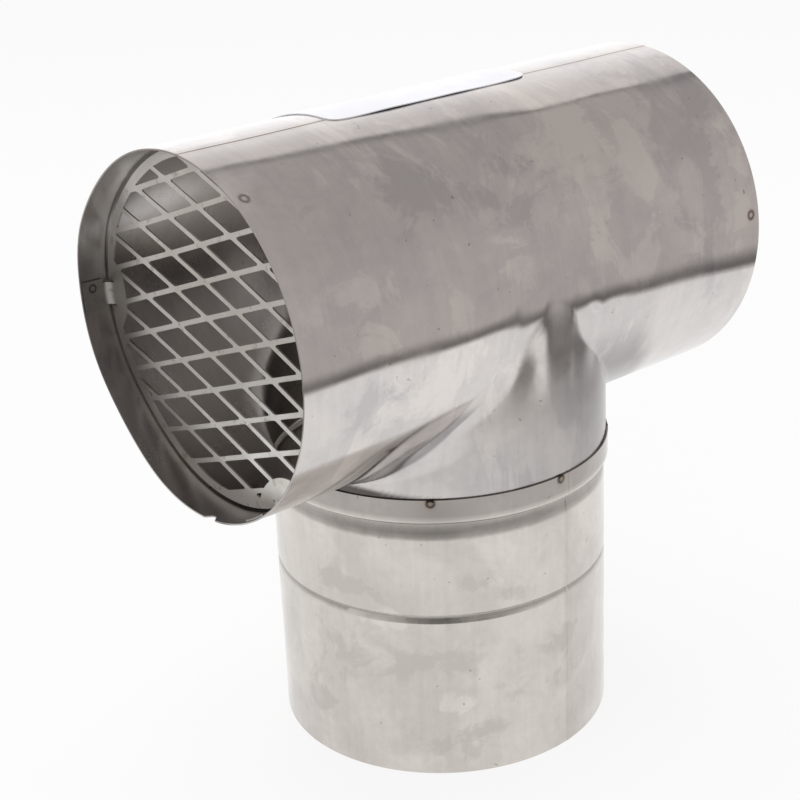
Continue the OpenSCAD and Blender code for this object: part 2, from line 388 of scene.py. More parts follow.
def stand(thing, place, side, up, back):
    """Sets a lamp or camera at a place with its own axes along side, up and back."""
    rows = [(*row, p) for row, p in zip(np.stack([side, up, back], 1), place)]
    thing.matrix_world = Matrix(rows + [(0, 0, 0, 1)])


def finish_piece(name, mesh, material, node):
    """Puts a mesh into the scene as the piece that stands for a CAD node."""
    piece = add_object(name, mesh)
    mesh.materials.clear()
    mesh.materials.append(material)
    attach(piece, "root")
    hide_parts(node)
    return piece


class Look:
    """Adds nodes to one material and links them."""

    def __init__(self, name):
        self.material = bpy.data.materials.new(name)
        self.material.use_nodes = True
        self.tree = self.material.node_tree
        self.shader = self.tree.nodes["Principled BSDF"]
        self.place = self.node("ShaderNodeTexCoord").outputs["Object"]

    def node(self, kind, inputs=None, **settings):
        """A node with its settings, and its inputs set or linked by name or number."""
        made = self.tree.nodes.new(kind)
        for key, value in settings.items():
            setattr(made, key, value)
        for key, value in (inputs or {}).items():
            self.feed(made.inputs[key], value)
        return made

    def feed(self, socket, value):
        """Links an output to the socket, or sets the socket's own value."""
        if isinstance(value, bpy.types.NodeSocket):
            self.tree.links.new(value, socket)
        else:
            socket.default_value = value

    def attribute(self, name):
        """A number kept in the mesh."""
        return self.node("ShaderNodeAttribute", attribute_name=name).outputs["Fac"]

    def stretched(self, scale):
        """Object coordinates scaled along each axis."""
        return self.node("ShaderNodeMapping", {0: self.place, 3: scale}).outputs[0]

    def noise(self, scale, detail=4.0, rough=0.55, place=None, distortion=0.0):
        """Noise from 0 to 1 whose coarsest cells are 1 / scale metres wide."""
        inputs = {
            "Vector": place or self.place,
            "Scale": scale,
            "Detail": detail,
            "Roughness": rough,
            "Distortion": distortion,
        }
        return self.node("ShaderNodeTexNoise", inputs).outputs["Fac"]

    def ranged(self, value, low, high, to_low=0.0, to_high=1.0, smooth=True):
        """The value mapped from low..high to to_low..to_high and held at the ends."""
        kind = "SMOOTHSTEP" if smooth else "LINEAR"
        inputs = {0: value, 1: low, 2: high, 3: to_low, 4: to_high}
        return self.node("ShaderNodeMapRange", inputs, interpolation_type=kind).outputs[0]

    def math(self, operation, a, b=0.0):
        """One arithmetic step."""
        return self.node("ShaderNodeMath", {0: a, 1: b}, operation=operation).outputs[0]

    def plus(self, a, b):
        """a plus b."""
        return self.math("ADD", a, b)

    def minus(self, a, b):
        """a less b."""
        return self.math("SUBTRACT", a, b)

    def times(self, a, b):
        """a times b."""
        return self.math("MULTIPLY", a, b)

    def mixed(self, factor, a, b):
        """A colour between a and b."""
        a, b = (value if isinstance(value, bpy.types.NodeSocket) else (*value, 1) for value in (a, b))
        return self.node("ShaderNodeMix", {0: factor, 6: a, 7: b}, data_type="RGBA").outputs[2]

    def bump(self, height, distance):
        """A bump whose full height is the distance."""
        return self.node("ShaderNodeBump", {"Height": height, "Distance": distance}).outputs[0]

    def shine(self, shader):
        """Takes another shader's output for the surface, in place of the principled one."""
        self.tree.links.new(shader, self.tree.nodes["Material Output"].inputs[0])
        self.tree.nodes.remove(self.shader)


def stained_steel(name, clean, stained, coarse, splashes, roughness, grain):
    """Mill-finish sheet: soft clouds, ragged lighter splashes, a fine veil of grime and streaks along the
    grain, with the patches, heat tint, sooty marks, grime, painted shade and dull places that the mesh's
    attributes hold."""
    look = Look(name)
    clouds = look.ranged(look.noise(coarse, 6, 0.6, distortion=0.5), 0.36, 0.64)
    splash = look.ranged(look.noise(coarse, 8, 0.66, look.stretched((1.6, 1, 0.8)), 0.7), 0.53, 0.60)
    veil = look.ranged(look.noise(coarse * 7, 5, 0.7), 0.35, 0.72)
    streaks = look.ranged(look.noise(1, 4, 0.7, look.stretched(grain)), 0.3, 0.7)
    ragged = look.times(look.ranged(look.noise(60, 7, 0.65, distortion=0.6), 0.35, 0.65), 0.8)
    patch = look.attribute("patch")
    dark = look.ranged(look.minus(patch, ragged), -0.15, 0.25, 0, 0.48)
    light = look.ranged(look.plus(patch, ragged), -0.20, 0.10, 0.45, 0)
    amount = look.plus(look.minus(dark, light), 0.16)
    for part, weight in ((clouds, 0.45), (veil, 0.18), (streaks, 0.16), (splash, -splashes)):
        amount = look.plus(amount, look.times(part, weight))
    # Grime and painted shade that the mesh holds draw the colour towards the stain colour.
    amount = look.plus(amount, look.attribute("dirt_and_shade"))
    base = look.mixed(look.math("MINIMUM", look.math("MAXIMUM", amount, 0.0), 1.0), clean, stained)
    specks = look.ranged(look.noise(420, 2, 0.5), 0.73, 0.78, 0, 0.5)
    base = look.mixed(specks, base, SPECK)
    base = look.mixed(look.attribute("tint"), base, HEAT_TINT)
    # Sooty marks and painted shade that the mesh holds draw the colour towards the near-black colour.
    base = look.mixed(look.attribute("soot_and_shade"), base, SOOT_AND_SHADE)
    look.feed(look.shader.inputs["Base Color"], base)
    dull = look.ranged(look.noise(coarse * 2.3, 5, 0.65), 0.35, 0.68, roughness[0], roughness[1])
    look.feed(look.shader.inputs["Roughness"], look.plus(dull, look.attribute("dull")))
    look.shader.inputs["Metallic"].default_value = 1.0
    height = look.plus(look.noise(70, 3, 0.5), look.times(streaks, 0.02))
    look.feed(look.shader.inputs["Normal"], look.bump(height, 0.03 * MM))
    return look.material


def flecked_steel(name, clean, stained, marks):
    """Duller punched sheet with small heat-tinted flecks, a dark ring round each weld mark, and the painted
    shade that the mesh holds on the tabs and on one side.
    """
    look = Look(name)
    flecks = look.ranged(look.noise(260, 4, 0.7), 0.56, 0.66, 0, 0.6)
    clouds = look.ranged(look.noise(45, 4, 0.6), 0.35, 0.65, 0, 0.25)
    base = look.mixed(look.math("MAXIMUM", flecks, clouds), clean, stained)
    # Painted shade from the mesh, with the dark rings of the weld marks added below.
    soot_and_shade = look.attribute("soot_and_shade")
    for point in marks:
        away = look.node("ShaderNodeVectorMath", {0: look.place, 1: point}, operation="DISTANCE")
        ring = look.math("ABSOLUTE", look.minus(away.outputs["Value"], 1.1 * MM))
        soot_and_shade = look.math("MAXIMUM", soot_and_shade, look.ranged(ring, 0.15 * MM, 0.6 * MM, 0.9, 0))
    base = look.mixed(soot_and_shade, base, SOOT_AND_SHADE)
    look.feed(look.shader.inputs["Base Color"], base)
    look.feed(look.shader.inputs["Roughness"], look.ranged(look.noise(90, 3, 0.6), 0.3, 0.7, 0.30, 0.42))
    look.shader.inputs["Metallic"].default_value = 1.0
    look.feed(look.shader.inputs["Normal"], look.bump(look.noise(500, 3, 0.6), 0.01 * MM))
    return look.material


def rim_shape(turn, from_rim, body):
    """How far the near rim is out of round: a bulge and a flat at the back, as bells over the turn that
    fade inwards as a bell of the distance from the rim."""
    bulge, flat = (bell(wrap(turn - middle), width) for middle, width in (RIM_BULGE, RIM_FLAT))
    return body.oval * (0.55 * bulge - flat) * bell(from_rim, 20 * MM)


def shoulder(points, body):
    """Folds in both sides where the branch leaves the run: lobes along X, as bells of either sign, that
    rise with height up to the level of the axis and die out above it."""
    x, z = points[:, 0], points[:, 2] - AXIS_Z
    lobes = 0
    for place, width, height in FOLDS:
        lobes = lobes + height * bell(x - place * MM, width * MM)
    rise = smooth_step((z + 30 * MM) / (32 * MM)) * bell(np.maximum(z - 1 * MM, 0), 10 * MM)
    return body.shoulder * lobes * rise


def weld_marks(body):
    """End and turn of each weld mark on the run: those of the tabs, moved by the slip of their end."""
    near = [(-1, tab + body.mark_slip) for tab in NEAR_TABS]
    return near + [(1, tab + body.far_slip) for tab in FAR_TABS]


def mark_distance(x, turn, end, mark, body):
    """Distance over the run's skin to a weld mark."""
    across = np.radians(wrap(turn - mark)) * RUN_R
    return np.hypot(across, x - end * (HALF_RUN - body.mark_inset))


def run_height(points, body, outer):
    """How far the sheet of the tee stands out at each point: shallow waves as products of sines, the shape
    of the near rim, the folds of the shoulders, the weld marks, and the weld bead on the outer skin."""
    x, y, z = points[:, 0], points[:, 1], points[:, 2] - AXIS_Z
    turn = np.degrees(np.arctan2(-y, z))
    on_run = smooth_step((z + np.abs(x)) / (4 * MM))
    height = body.wave * np.sin(x / (11 * MM) + 0.8) * np.sin(np.radians(turn) * 3 + x / (40 * MM))
    height += 0.6 * body.wave * np.sin(x / (6.3 * MM) + 2) * np.sin(np.radians(turn) * 7 + 1)
    height += rim_shape(turn, x + HALF_RUN, body) + shoulder(points, body)
    if outer:
        bead = np.radians(wrap(turn - body.bead_turn)) * RUN_R / (body.bead_width / 2)
        height += body.bead_height * np.clip(1 - bead**2, 0, 1) * on_run
    for end, mark in weld_marks(body):
        away = mark_distance(x, turn, end, mark, body)
        height -= body.mark_depth * bell(away - 0.4 * body.mark_size, 0.16 * body.mark_size)
    return height


def leaf_reach(x, z, radius, fillet):
    """Reach of the rounding at a place along the run and a height from the axis: the fillet times the sine
    of the angle between the sheets, less towards the side and the crotch and at the far end's crease."""
    depth = np.clip(-z / radius, 0, 1)
    leaf = np.maximum(smooth_step((depth - 0.42) / 0.34), 0.55) * smooth_step((1.06 - depth) / 0.30)
    leaf = leaf * (1 - 0.75 * smooth_step(x / (20 * MM)))
    return np.maximum(fillet * leaf * np.sqrt(1 - (1 - depth**2) ** 2), 1e-7)


def skin_distance(points, radius, fillet):
    """Distance to the joined cylinders and its slope: the lesser of the distances to the run and to the
    branch, rounded off where they are within the rounding's reach of each other."""
    x, y, z = points[:, 0], points[:, 1], points[:, 2] - AXIS_Z
    run, branch = np.hypot(y, z), np.hypot(x, y)
    reach = leaf_reach(x, z, radius, fillet)
    to_run = run - radius
    to_branch = np.where(z < 0, branch - radius, 1.0)
    blend = np.clip(0.5 + 0.5 * (to_branch - to_run) / reach, 0, 1)
    distance = to_branch + (to_run - to_branch) * blend - reach * blend * (1 - blend)
    blend = blend[:, None]
    zero = np.zeros_like(x)
    slope = blend * np.stack([zero, y, z], 1) / run[:, None]
    slope += (1 - blend) * np.stack([x, y, zero], 1) / np.maximum(branch, 1e-9)[:, None]
    return distance, slope


def settle(points, radius, body, outer):
    """Moves points along the slope until each lies on the skin, raised by the sheet's own height there."""
    shape = points.shape
    points = points.reshape(-1, 3).copy()
    height = run_height(points, body, outer)
    for _ in range(8):
        distance, slope = skin_distance(points, radius, body.fillet)
        points -= ((distance - height) / (slope**2).sum(1))[:, None] * slope
    return points.reshape(shape)


def tee_grids(radius, turns, rim_rows, run_rows, collar_rows, body):
    """Plain grids of one skin: for each half of the run, rows from its rim to the plane or crease where it
    ends, and for each half of the branch, rows from the crease down to the collar's end. The crease lies
    where two equal cylinders cross, at a distance from the middle of minus the cosine of the turn."""
    turn = np.radians(turns)
    crease = np.maximum(-radius * np.cos(turn), 0)
    y = -radius * np.sin(turn)
    z = AXIS_Z + radius * np.cos(turn)
    zone = 8 * MM
    half_notch = body.notch_width / 2 / RUN_R
    in_notch = np.abs(np.radians(wrap(turns - body.notch_turn))) < half_notch
    grids = []
    below = (turns > 90 - 1e-6) & (turns < 270 + 1e-6)
    for end in (-1, 1):
        cut = np.where(in_notch, body.notch_depth, 0) if end < 0 else np.zeros_like(turn)
        rim = HALF_RUN - cut - rim_rows[:, None] * (zone - cut)
        rest = HALF_RUN - zone - run_rows[:, None] * (HALF_RUN - zone - crease)
        x = end * np.concatenate([rim, rest[1:]])
        grids.append(np.stack(np.broadcast_arrays(x, y, z), 2))
        drop = z[below] - collar_rows[:, None] * (z[below] - COLLAR_END)
        grids.append(np.stack(np.broadcast_arrays(end * crease[below], y[below], drop), 2))
    return grids


def tee_mesh(body):
    """The drawn tee as a closed sheet: outer and inner skins, joined at both rims and at the collar's end.
    Its lines lie closer at the bead, the folds, the weld marks, the rims and the crease."""
    half_notch = math.degrees(body.notch_width / 2 / RUN_R)
    edges = [body.notch_turn + side * (half_notch + off) for side in (-1, 1) for off in (-0.03, 0.03)]
    dense = [(body.bead_turn, 1.3, 0.14), (90, 18, 1.0), (270, 18, 1.0)]
    dense += [(mark, 2.6, 0.5) for _, mark in weld_marks(body)]
    turns = lines(0, 358, 2.0, dense, [0, 90, 270] + edges)
    turns = turns[turns < 359.5]
    ramp = np.linspace(0, 1, 19)
    to_crease = 1 - (1 - np.linspace(0, 1, 62)) ** 1.4
    from_crease = np.linspace(0, 1, 36) ** 1.4
    inner_r = RUN_R - body.sheet
    even = (np.linspace(0, 1, 24), np.linspace(0, 1, 14))
    outer = tee_grids(RUN_R, turns, ramp, to_crease, from_crease, body)
    inner = tee_grids(inner_r, turns, ramp[::3], *even, body)
    outer = [settle(grid, RUN_R, body, True) for grid in outer]
    inner = [settle(grid, inner_r, body, False) for grid in inner]
    skin = Skin()
    for grid, closed in zip(outer + inner, (True, False) * 4):
        skin.add(grid, closed)
    for half in (0, 2):
        skin.add(np.stack([outer[half][0], inner[half][0]]), True)
        skin.add(np.stack([outer[half + 1][-1], inner[half + 1][-1]]))
    return skin.mesh("drawn_tee")


def tee_marks(mesh, body):
    """Numbers for the tee's material: heat tint along the weld bead and round the weld marks, sooty rings in
    the marks, painted shade on the inner skin (lighter at two turns, darker at the near mouth), in the gap
    over the sleeve's lip, in the leaf over the crease and on the collar, duller steel there and inside, and
    the placed stains."""
    points = coordinates(mesh)
    x, y, z = points[:, 0], points[:, 1], points[:, 2] - AXIS_Z
    turn = np.degrees(np.arctan2(-y, z))
    bearing = np.degrees(np.arctan2(y, x))
    on_run = z + np.abs(x) > 0
    distance, _ = skin_distance(points, RUN_R, body.fillet)
    outside = distance - run_height(points, body, False) > -body.sheet / 2
    arc = np.radians(wrap(turn - body.bead_turn)) * RUN_R
    tint = 0.28 * bell(arc, 1.3 * MM) * on_run * outside
    # Painted shade on the inner skin, lightened at two turns as painted light and deepened towards the near
    # mouth.
    worn_and_lit = 0.34 * bell(wrap(turn + 52), 17)
    worn_and_lit += 0.20 * bell(wrap(turn + 112), 20) * smooth_step((x + 60 * MM) / (60 * MM))
    mouth = smooth_step((-x - 70 * MM) / (8 * MM))
    soot_and_shade = np.maximum(0.26 + 0.18 * mouth - worn_and_lit, 0) * (1.0 - outside)
    for end, mark in weld_marks(body):
        away = mark_distance(x, turn, end, mark, body)
        tint += (0.25 if end < 0 else 0.7) * bell(away - 0.4 * body.mark_size, 0.6 * MM)
        soot_and_shade += 0.8 * bell(away - 0.42 * body.mark_size, 0.32 * MM)
    # Painted shade: a dark band on the outer skin just over the sleeve's lip, up to 3.6 mm high, widest
    # between bearings -172 and -160.
    gap = np.clip(wrap(bearing + 126) / -34, 0, 1) * smooth_step(wrap(bearing + 178) / 6)
    over_lip = points[:, 2] - LIP_Z
    soot_and_shade += 0.9 * smooth_step((3.6 * MM * gap - over_lip) / (1.6 * MM)) * (over_lip > -2 * MM) * outside
    # Painted shade on the outer skin: the collar, more towards +X and round turn 90, and the leaf over the
    # crease on the -X side are darkened; the collar is also made duller.
    to_branch = np.abs(np.hypot(x, y) - RUN_R)
    collar = smooth_step((-z - 12 * MM) / (20 * MM)) * outside
    collar = collar * smooth_step((16 * MM - to_branch) / (8 * MM))
    above = (np.hypot(x, y) - np.hypot(y, z)) / leaf_reach(x, z, RUN_R, body.fillet)
    leaf = smooth_step((above + 0.15) / 0.2) * smooth_step((1.05 - above) / 0.4)
    leaf = leaf * smooth_step((-z / RUN_R - 0.45) / 0.1) * (x < 0) * outside
    right = smooth_step((x + 40 * MM) / (60 * MM))
    soot_and_shade += 0.54 * collar * right * bell(turn - 90, 80) + 0.40 * leaf
    # On the tee this darkening towards the stain colour is all painted shade.
    dirt_and_shade = 0.5 * collar * right + 0.3 * leaf
    store(mesh, "patch", stains(PATCHES, x, turn) * outside)
    store(mesh, "dull", 0.20 * (1.0 - outside) + 0.12 * collar)
    store(mesh, "tint", np.clip(tint, 0, 1))
    store(mesh, "soot_and_shade", np.clip(soot_and_shade, 0, 1))
    store(mesh, "dirt_and_shade", dirt_and_shade)


def rounded(path, radii, steps=6):
    """A path of points with each inner corner replaced by an arc that touches both of its sides."""
    out = [path[0]]
    for before, corner, after, radius in zip(path, path[1:], path[2:], radii):
        u, v = (corner - before), (after - corner)
        lu, lv = np.linalg.norm(u), np.linalg.norm(v)
        u, v = u / lu, v / lv
        half = math.acos(np.clip(u @ v, -1, 1)) / 2
        reach = min(radius * math.tan(half), lu / 2, lv / 2)
        t = np.linspace(0, 1, steps)[:, None]
        a, b = corner - u * reach, corner + v * reach
        out += list((1 - t) ** 2 * a + 2 * t * (1 - t) * corner + t**2 * b)
    return np.array(out + [path[-1]])


def spaced(path, step):
    """A path with its own points and others added so that none lie further apart than the step."""
    at = np.append(0, np.cumsum(np.linalg.norm(np.diff(path, axis=0), axis=1)))
    wanted = np.unique(np.round(np.concatenate([at, np.arange(0, at[-1], step)]), 7))
    wanted = wanted[np.append(True, np.diff(wanted) > step / 80)]
    return np.stack([np.interp(wanted, at, path[:, i]) for i in (0, 1)], 1)


def sleeve_levels(sleeve):
    """Heights of the foot and top of the stop groove and of the seat groove."""
    stop_top = SPIGOT_LENGTH + sleeve.stop_height
    seat_foot = stop_top + sleeve.pipe_length
    return SPIGOT_LENGTH, stop_top, seat_foot, seat_foot + sleeve.seat_height


def sleeve_profile(sleeve):
    """Outer outline of the sleeve from its foot up: pairs of radius and height with rounded corners."""
    stop_foot, stop_top, seat_foot, band_foot = sleeve_levels(sleeve)
    band_r = PIPE_R + sleeve.band_step
    path = np.array(
        [
            (PIPE_R, SLEEVE_LOW.z),
            (PIPE_R, stop_foot),
            (PIPE_R - sleeve.stop_depth, stop_top - sleeve.stop_height / 5),
            (PIPE_R, stop_top),
            (PIPE_R, seat_foot),
            (PIPE_R - sleeve.seat_depth, band_foot - sleeve.seat_height / 8),
            (band_r, band_foot),
            (band_r, LIP_Z),
        ]
    )
    radii = np.array([2, 0.7, 1.2, 10, 0.7, 2.0]) * MM
    return spaced(rounded(path, radii), 1.3 * MM)


def sleeve_mesh(sleeve):
    """The sleeve as a closed sheet: its outline and the same moved inwards by the sheet, carried round Z,
    with the weld bead as a low ridge, the spot welds as bells and shallow waves as products of sines."""
    outline = sleeve_profile(sleeve)
    fine_foot = LIP_Z - 5 * MM
    fine = np.linspace(fine_foot, LIP_Z, 22)
    fine = np.stack([np.full_like(fine, outline[-1, 0]), fine], 1)
    outline = np.concatenate([outline[outline[:, 1] <= fine_foot], fine])
    along = np.gradient(outline, axis=0)
    along /= np.linalg.norm(along, axis=1)[:, None]
    normal = np.stack([along[:, 1], -along[:, 0]], 1)
    inner = (outline - normal * sleeve.sheet)[::2][::-1]
    inner[0, 1], inner[-1, 1] = outline[-1, 1], outline[0, 1]
    nuggets = wrap(sleeve.nugget_bearing + NUGGET_STEPS)
    dense = [(b, 2.4, 0.4) for b in nuggets] + [(sleeve.bead_bearing, 1.2, 0.15)]
    bearings = lines(-180, 178.5, 1.5, dense)
    angle = np.radians(bearings)
    skin = Skin()
    loops = []
    for profile, outer in ((outline, 1), (inner, 0)):
        r, z = (np.broadcast_to(v[:, None], (len(v), len(angle))).copy() for v in profile.T)
        r += 0.08 * MM * np.sin(3 * angle + z / (19 * MM)) * np.sin(z / (13 * MM) + angle)
        if outer:
            arc = np.radians(wrap(bearings - sleeve.bead_bearing)) * PIPE_R / (sleeve.bead_width / 2)
            r += sleeve.bead_height * np.clip(1 - arc**2, 0, 1)
            for bearing in nuggets:
                away = np.hypot(np.radians(wrap(bearings - bearing)) * r, z - (LIP_Z - sleeve.nugget_drop))
                r += sleeve.nugget_height * np.exp(-((away / (0.42 * sleeve.nugget_size)) ** 4))
        loops.append(np.stack([r * np.cos(angle), r * np.sin(angle), z], 2))
    ring = np.concatenate(loops + [loops[0][:1]])
    skin.add(ring, True)
    return skin.mesh("rolled_sleeve")


def sleeve_marks(mesh, sleeve):
    """Numbers for the sleeve's material: heat tint along the bead and on the spot welds, sooty rings round
    them and a smudge under the first, painted shade inside, on the band and in the seat groove, grime beside
    the bead too, and the placed stains."""
    points = coordinates(mesh)
    x, y, z = points.T
    radius = np.hypot(x, y)
    bearing = np.degrees(np.arctan2(y, x))
    outside = radius > PIPE_R - 0.6 * sleeve.sheet
    tint = 0.12 * bell(np.radians(wrap(bearing - sleeve.bead_bearing)) * PIPE_R, 0.9 * MM) * outside
    # Painted shade inside the sleeve.
    soot_and_shade = 0.34 * (1.0 - outside)
    for nugget in sleeve.nugget_bearing + NUGGET_STEPS:
        away = np.hypot(np.radians(wrap(bearing - nugget)) * radius, z - (LIP_Z - sleeve.nugget_drop))
        tint += 0.7 * bell(away, 0.6 * sleeve.nugget_size) * outside
        soot_and_shade += 0.75 * bell(away - 0.42 * sleeve.nugget_size, 0.36 * MM) * outside
    _, _, seat_foot, band_foot = sleeve_levels(sleeve)
    # Painted shade: the band and the seat groove are darkened towards the stain and near-black colours.
    band = smooth_step((z - band_foot - 0.4 * MM) / (1.2 * MM))
    groove = smooth_step((z - seat_foot) / (2 * MM))
    groove = groove * (1 - smooth_step((z - band_foot + 1.2 * MM) / (1.0 * MM)))
    smudge = bell(wrap(bearing + 132), 7) * bell(LIP_Z - 4 * MM - z, 5 * MM)
    old_weld = 0.3 * bell(wrap(bearing - sleeve.bead_bearing - 4), 5) * (0.6 + 0.4 * np.sin(z / (7 * MM)))
    store(mesh, "tint", np.clip(tint, 0, 1))
    store(mesh, "soot_and_shade", np.clip(soot_and_shade + (0.34 * band + 0.44 * groove + 0.15 * smudge) * outside, 0, 1))
    store(mesh, "dirt_and_shade", (0.3 * band + 0.4 * groove + 0.5 * smudge + old_weld) * outside)
    store(mesh, "patch", stains(SLEEVE_PATCHES, z, bearing) * outside)
    store(mesh, "dull", 0.15 * (1.0 - outside))


def mark_place(end, turn, body):
    """Where the weld mark at a turn near an end of the run meets the inside of a tab."""
    radius = RUN_R - TAB_SINK
    turn = math.radians(turn)
    return end * (HALF_RUN - body.mark_inset), -radius * math.sin(turn), AXIS_Z + radius * math.cos(turn)


def screen_mesh(node, screen, body, end):
    """A screen's solid, merged and bowed: each point moves along X towards its rim by the bow times the
    square of its sideways place, less with its height on a tab. The near one is pushed in with its rim."""
    mesh = frame["nodes"][node].data.copy()
    rework(mesh, lambda work: bmesh.ops.remove_doubles(work, verts=work.verts, dist=1e-6))
    points = coordinates(mesh)
    inner = HALF_RUN - SCREEN_DEPTH
    up_tab = np.clip((end * points[:, 0] - inner - 0.5 * MM) / screen.fade, 0, 1)
    side = points[:, 1] / (50 * MM)
    points[:, 0] += end * screen.bow * (side**2 - 0.35) * (1 - smooth_step(up_tab))
    if end < 0:
        y, z = points[:, 1], points[:, 2] - AXIS_Z
        out = np.hypot(y, z)
        pushed = rim_shape(np.degrees(np.arctan2(-y, z)), points[:, 0] + HALF_RUN, body)
        pushed *= (out / RUN_R) ** 4
        points[:, 1] += pushed * y / np.maximum(out, 1e-6)
        points[:, 2] += pushed * z / np.maximum(out, 1e-6)
    mesh.vertices.foreach_set("co", points.ravel())
    face_outwards(mesh, 25)
    # Painted shade: the tabs, and the side of the screen towards +Y, are darkened towards the near-black
    # colour.
    shaded = 0.38 * smooth_step((points[:, 1] - 32 * MM) / (10 * MM))
    store(mesh, "soot_and_shade", np.maximum(0.6 * smooth_step((up_tab - 0.2) / 0.3), shaded))
    return mesh


def label_mesh(label):
    """A thin film on the run: rings of a rounded rectangle from its middle outwards, bent round the run,
    with waves along the front edge where it has come loose. Upper and lower skins meet at the edge."""
    half_wide = label.width / 2
    around = np.radians(np.linspace(0, 360, 240, endpoint=False))
    power = 14
    norm = (np.abs(np.cos(around)) ** power + np.abs(np.sin(around)) ** power) ** (1 / power)
    edge = np.stack([np.cos(around) / norm, np.sin(around) / norm], 1)
    rings = 1 - (1 - np.linspace(0, 1, 26)) ** 1.6
    flat = rings[:, None, None] * edge
    x = LABEL_MIDDLE + flat[..., 0] * LABEL_HALF
    turn = math.radians(label.front_turn) + (flat[..., 1] - 1) * half_wide / RUN_R
    loose = smooth_step((flat[..., 1] - 0.86) / 0.14)
    waves = 0.5 + 0.5 * np.sin(x / (5.5 * MM) + 1.3) * np.sin(x / (15 * MM) + 0.4)
    lift = label.lift * loose * waves
    skins = []
    for raise_by in (label.gap + label.sheet, label.gap):
        r = RUN_R + raise_by + lift
        skins.append(np.stack([x, -r * np.sin(turn), AXIS_Z + r * np.cos(turn)], 2))
    skin = Skin()
    for grid in skins:
        skin.add(grid, True)
    skin.add(np.stack([skins[0][-1], skins[1][-1]]), True)
    return skin.mesh("label_film")


def film(name, shade):
    """Matt white film with faint creases."""
    look = Look(name)
    cloud = look.ranged(look.noise(60, 4, 0.6), 0.3, 0.7)
    darker = [c * 0.93 for c in shade]
    look.feed(look.shader.inputs["Base Color"], look.mixed(cloud, shade, darker))
    look.shader.inputs["Roughness"].default_value = 0.32
    look.feed(look.shader.inputs["Normal"], look.bump(look.noise(140, 3, 0.5), 0.06 * MM))
    return look.material


class PIPETEE_OT_body(bpy.types.Operator):
    """Makes the drawn tee, the run and its collar in one sheet"""

    bl_idname = "pipetee.body"
    bl_label = "Drawn Tee"

    def execute(self, context):
        body = context.scene.tee_body
        mesh = tee_mesh(body)
        tee_marks(mesh, body)
        steel = stained_steel(
            "clouded_steel",
            body.steel,
            body.stain,
            coarse=24,
            splashes=0.40,
            roughness=(0.07, 0.13),
            grain=(420, 14, 14),
        )
        finish_piece("drawn_tee", mesh, steel, "tee_body")
        return {"FINISHED"}


class PIPETEE_OT_sleeve(bpy.types.Operator):
    """Makes the rolled sleeve of the branch"""

    bl_idname = "pipetee.sleeve"
    bl_label = "Branch Sleeve"

    def execute(self, context):
        sleeve = context.scene.tee_sleeve
        mesh = sleeve_mesh(sleeve)
        sleeve_marks(mesh, sleeve)
        steel = stained_steel(
            "grained_steel",
            sleeve.steel,
            sleeve.stain,
            coarse=44,
            splashes=0.16,
            roughness=(0.11, 0.19),
            grain=(480, 480, 14),
        )
        finish_piece("rolled_sleeve", mesh, steel, "branch_sleeve")
        return {"FINISHED"}


class PIPETEE_OT_screens(bpy.types.Operator):
    """Makes both diamond screens from their solids"""

    bl_idname = "pipetee.screens"
    bl_label = "Diamond Screens"

    def execute(self, context):
        screen = context.scene.tee_screens
        body = context.scene.tee_body
        marks = [mark_place(end, turn, body) for end, turn in weld_marks(body)]
        steel = flecked_steel("screen_steel", screen.steel, screen.stain, marks)
        for node, end in (("near_screen", -1), ("far_screen", 1)):
            mesh = screen_mesh(node, screen, body, end)
            piece = finish_piece("bowed_" + node, mesh, steel, node)
            worn_and_lit = piece.modifiers.new("worn_edges", "BEVEL")
            worn_and_lit.width = screen.edge
            worn_and_lit.segments = 1
            worn_and_lit.limit_method = "ANGLE"
            worn_and_lit.angle_limit = math.radians(50)
        return {"FINISHED"}


class PIPETEE_OT_label(bpy.types.Operator):
    """Makes the blank label on top of the run"""

    bl_idname = "pipetee.label"
    bl_label = "Blank Label"

    def execute(self, context):
        label = context.scene.tee_label
        white = film("white_film", label.film)
        finish_piece("loose_label", label_mesh(label), white, "blank_label")
        return {"FINISHED"}


def soft_light(name, place, aim, size, power):
    """A square area lamp that faces a point."""
    lamp = bpy.data.lights.new(name, "AREA")
    lamp.size = size
    lamp.energy = power
    back = np.array(place) - np.array(aim)
    back /= np.linalg.norm(back)
    side = np.cross((0, 1, 0), back)
    side /= np.linalg.norm(side)
    light = add_object(name, lamp)
    stand(light, place, side, np.cross(back, side), back)
    return light


def add_camera(stage):
    """The camera at the photograph's angle: it looks along its bearing and height angle, then rolls."""
    az, el, roll = (math.radians(a) for a in (stage.azimuth, stage.elevation, stage.roll))
    back = np.array([math.sin(az) * math.cos(el), -math.cos(az) * math.cos(el), math.sin(el)])
    right = np.cross((0, 0, 1), back)
    right /= np.linalg.norm(right)
    up = np.cross(back, right)
    side = math.cos(roll) * right + math.sin(roll) * up
    top = -math.sin(roll) * right + math.cos(roll) * up
    place = np.array(stage.aim) + back * stage.distance
    camera = add_object("camera", bpy.data.cameras.new("camera"))
    camera.data.lens = stage.focal
    camera.data.sensor_width = stage.sensor
    camera.data.clip_start = 0.01
    stand(camera, place, side, top, back)
    bpy.context.scene.camera = camera


def seen_directly(tree):
    """1 for rays from the camera, off gloss and through glass, which all see the plain background."""
    path = tree.nodes.new("ShaderNodeLightPath").outputs
    total = path["Is Camera Ray"]
    for name in ("Is Glossy Ray", "Is Transmission Ray"):
        step = tree.nodes.new("ShaderNodeMath")
        step.operation = "MAXIMUM"
        tree.links.new(total, step.inputs[0])
        tree.links.new(path[name], step.inputs[1])
        total = step.outputs[0]
    return total


